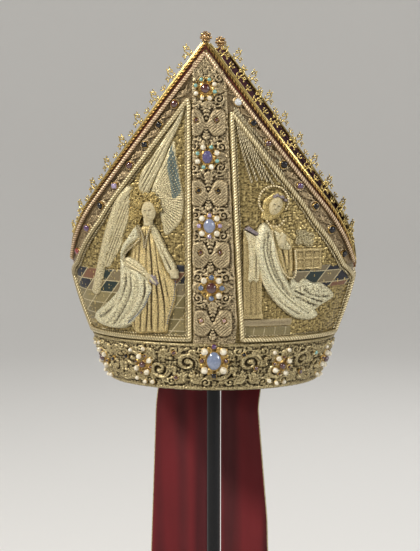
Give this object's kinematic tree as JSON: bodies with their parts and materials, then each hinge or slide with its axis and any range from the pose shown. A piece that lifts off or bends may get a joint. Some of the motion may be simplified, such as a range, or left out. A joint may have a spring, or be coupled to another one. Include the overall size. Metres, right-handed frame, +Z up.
{
  "type": "bishop mitre on stand",
  "caption": "Two-horned mitre of raised gold embroidery with jewelled strip and band, metal crests, velvet gusset and two velvet lappets, held up by a plain rod stand.",
  "frame": {"origin": "centre of the stand's foot, on its underside", "axes": "+Z up, along the rod; the mitre's front faces -Y, and +X is to the right as one looks at the front"},
  "size_m": [0.2942, 0.1972, 0.7264],
  "materials": {
    "gold_cloth": "couched gold thread",
    "gold_embroidery": "raised gold thread",
    "pale_gold_cord": "wrapped cord",
    "rose_gold_cord": "wrapped cord",
    "silver_gold_relief": "padded silver-gilt thread",
    "gilt_metal": "gilt, with pearls and stones",
    "crimson_velvet": "velvet",
    "black_steel": "satin black"
  },
  "bodies": {
    "root": {"angel_far_wing": "silver_gold_relief", "angel_figure": "silver_gold_relief", "angel_near_wing": "silver_gold_relief", "back_panel": "gold_cloth", "band_rosette_1": "gilt_metal", "band_rosette_2": "gilt_metal", "band_rosette_3": "gilt_metal", "band_rosette_4": "gilt_metal", "central_strip_back": "gold_embroidery", "central_strip_front": "gold_embroidery", "chest": "silver_gold_relief", "circlet_band": "gold_embroidery", "crest_back_left": "gilt_metal", "crest_back_right": "gilt_metal", "crest_front_left": "gilt_metal", "crest_front_right": "gilt_metal", "edge_cord_back": "rose_gold_cord", "edge_cord_front": "rose_gold_cord", "finial_back": "gilt_metal", "finial_front": "gilt_metal", "frame_cord_back_left": "pale_gold_cord", "frame_cord_back_right": "pale_gold_cord", "frame_cord_front_left": "pale_gold_cord", "frame_cord_front_right": "pale_gold_cord", "front_panel": "gold_cloth", "grand_rosette_back": "gilt_metal", "grand_rosette_front": "gilt_metal", "gusset_velvet": "crimson_velvet", "lappet_left": "crimson_velvet", "lappet_right": "crimson_velvet", "lectern": "silver_gold_relief", "rosette_front_1": "gilt_metal", "rosette_front_2": "gilt_metal", "rosette_front_3": "gilt_metal", "rosette_front_4": "gilt_metal", "stand_foot": "black_steel", "stand_post": "black_steel", "virgin_figure": "silver_gold_relief"}
  },
  "joints": []
}
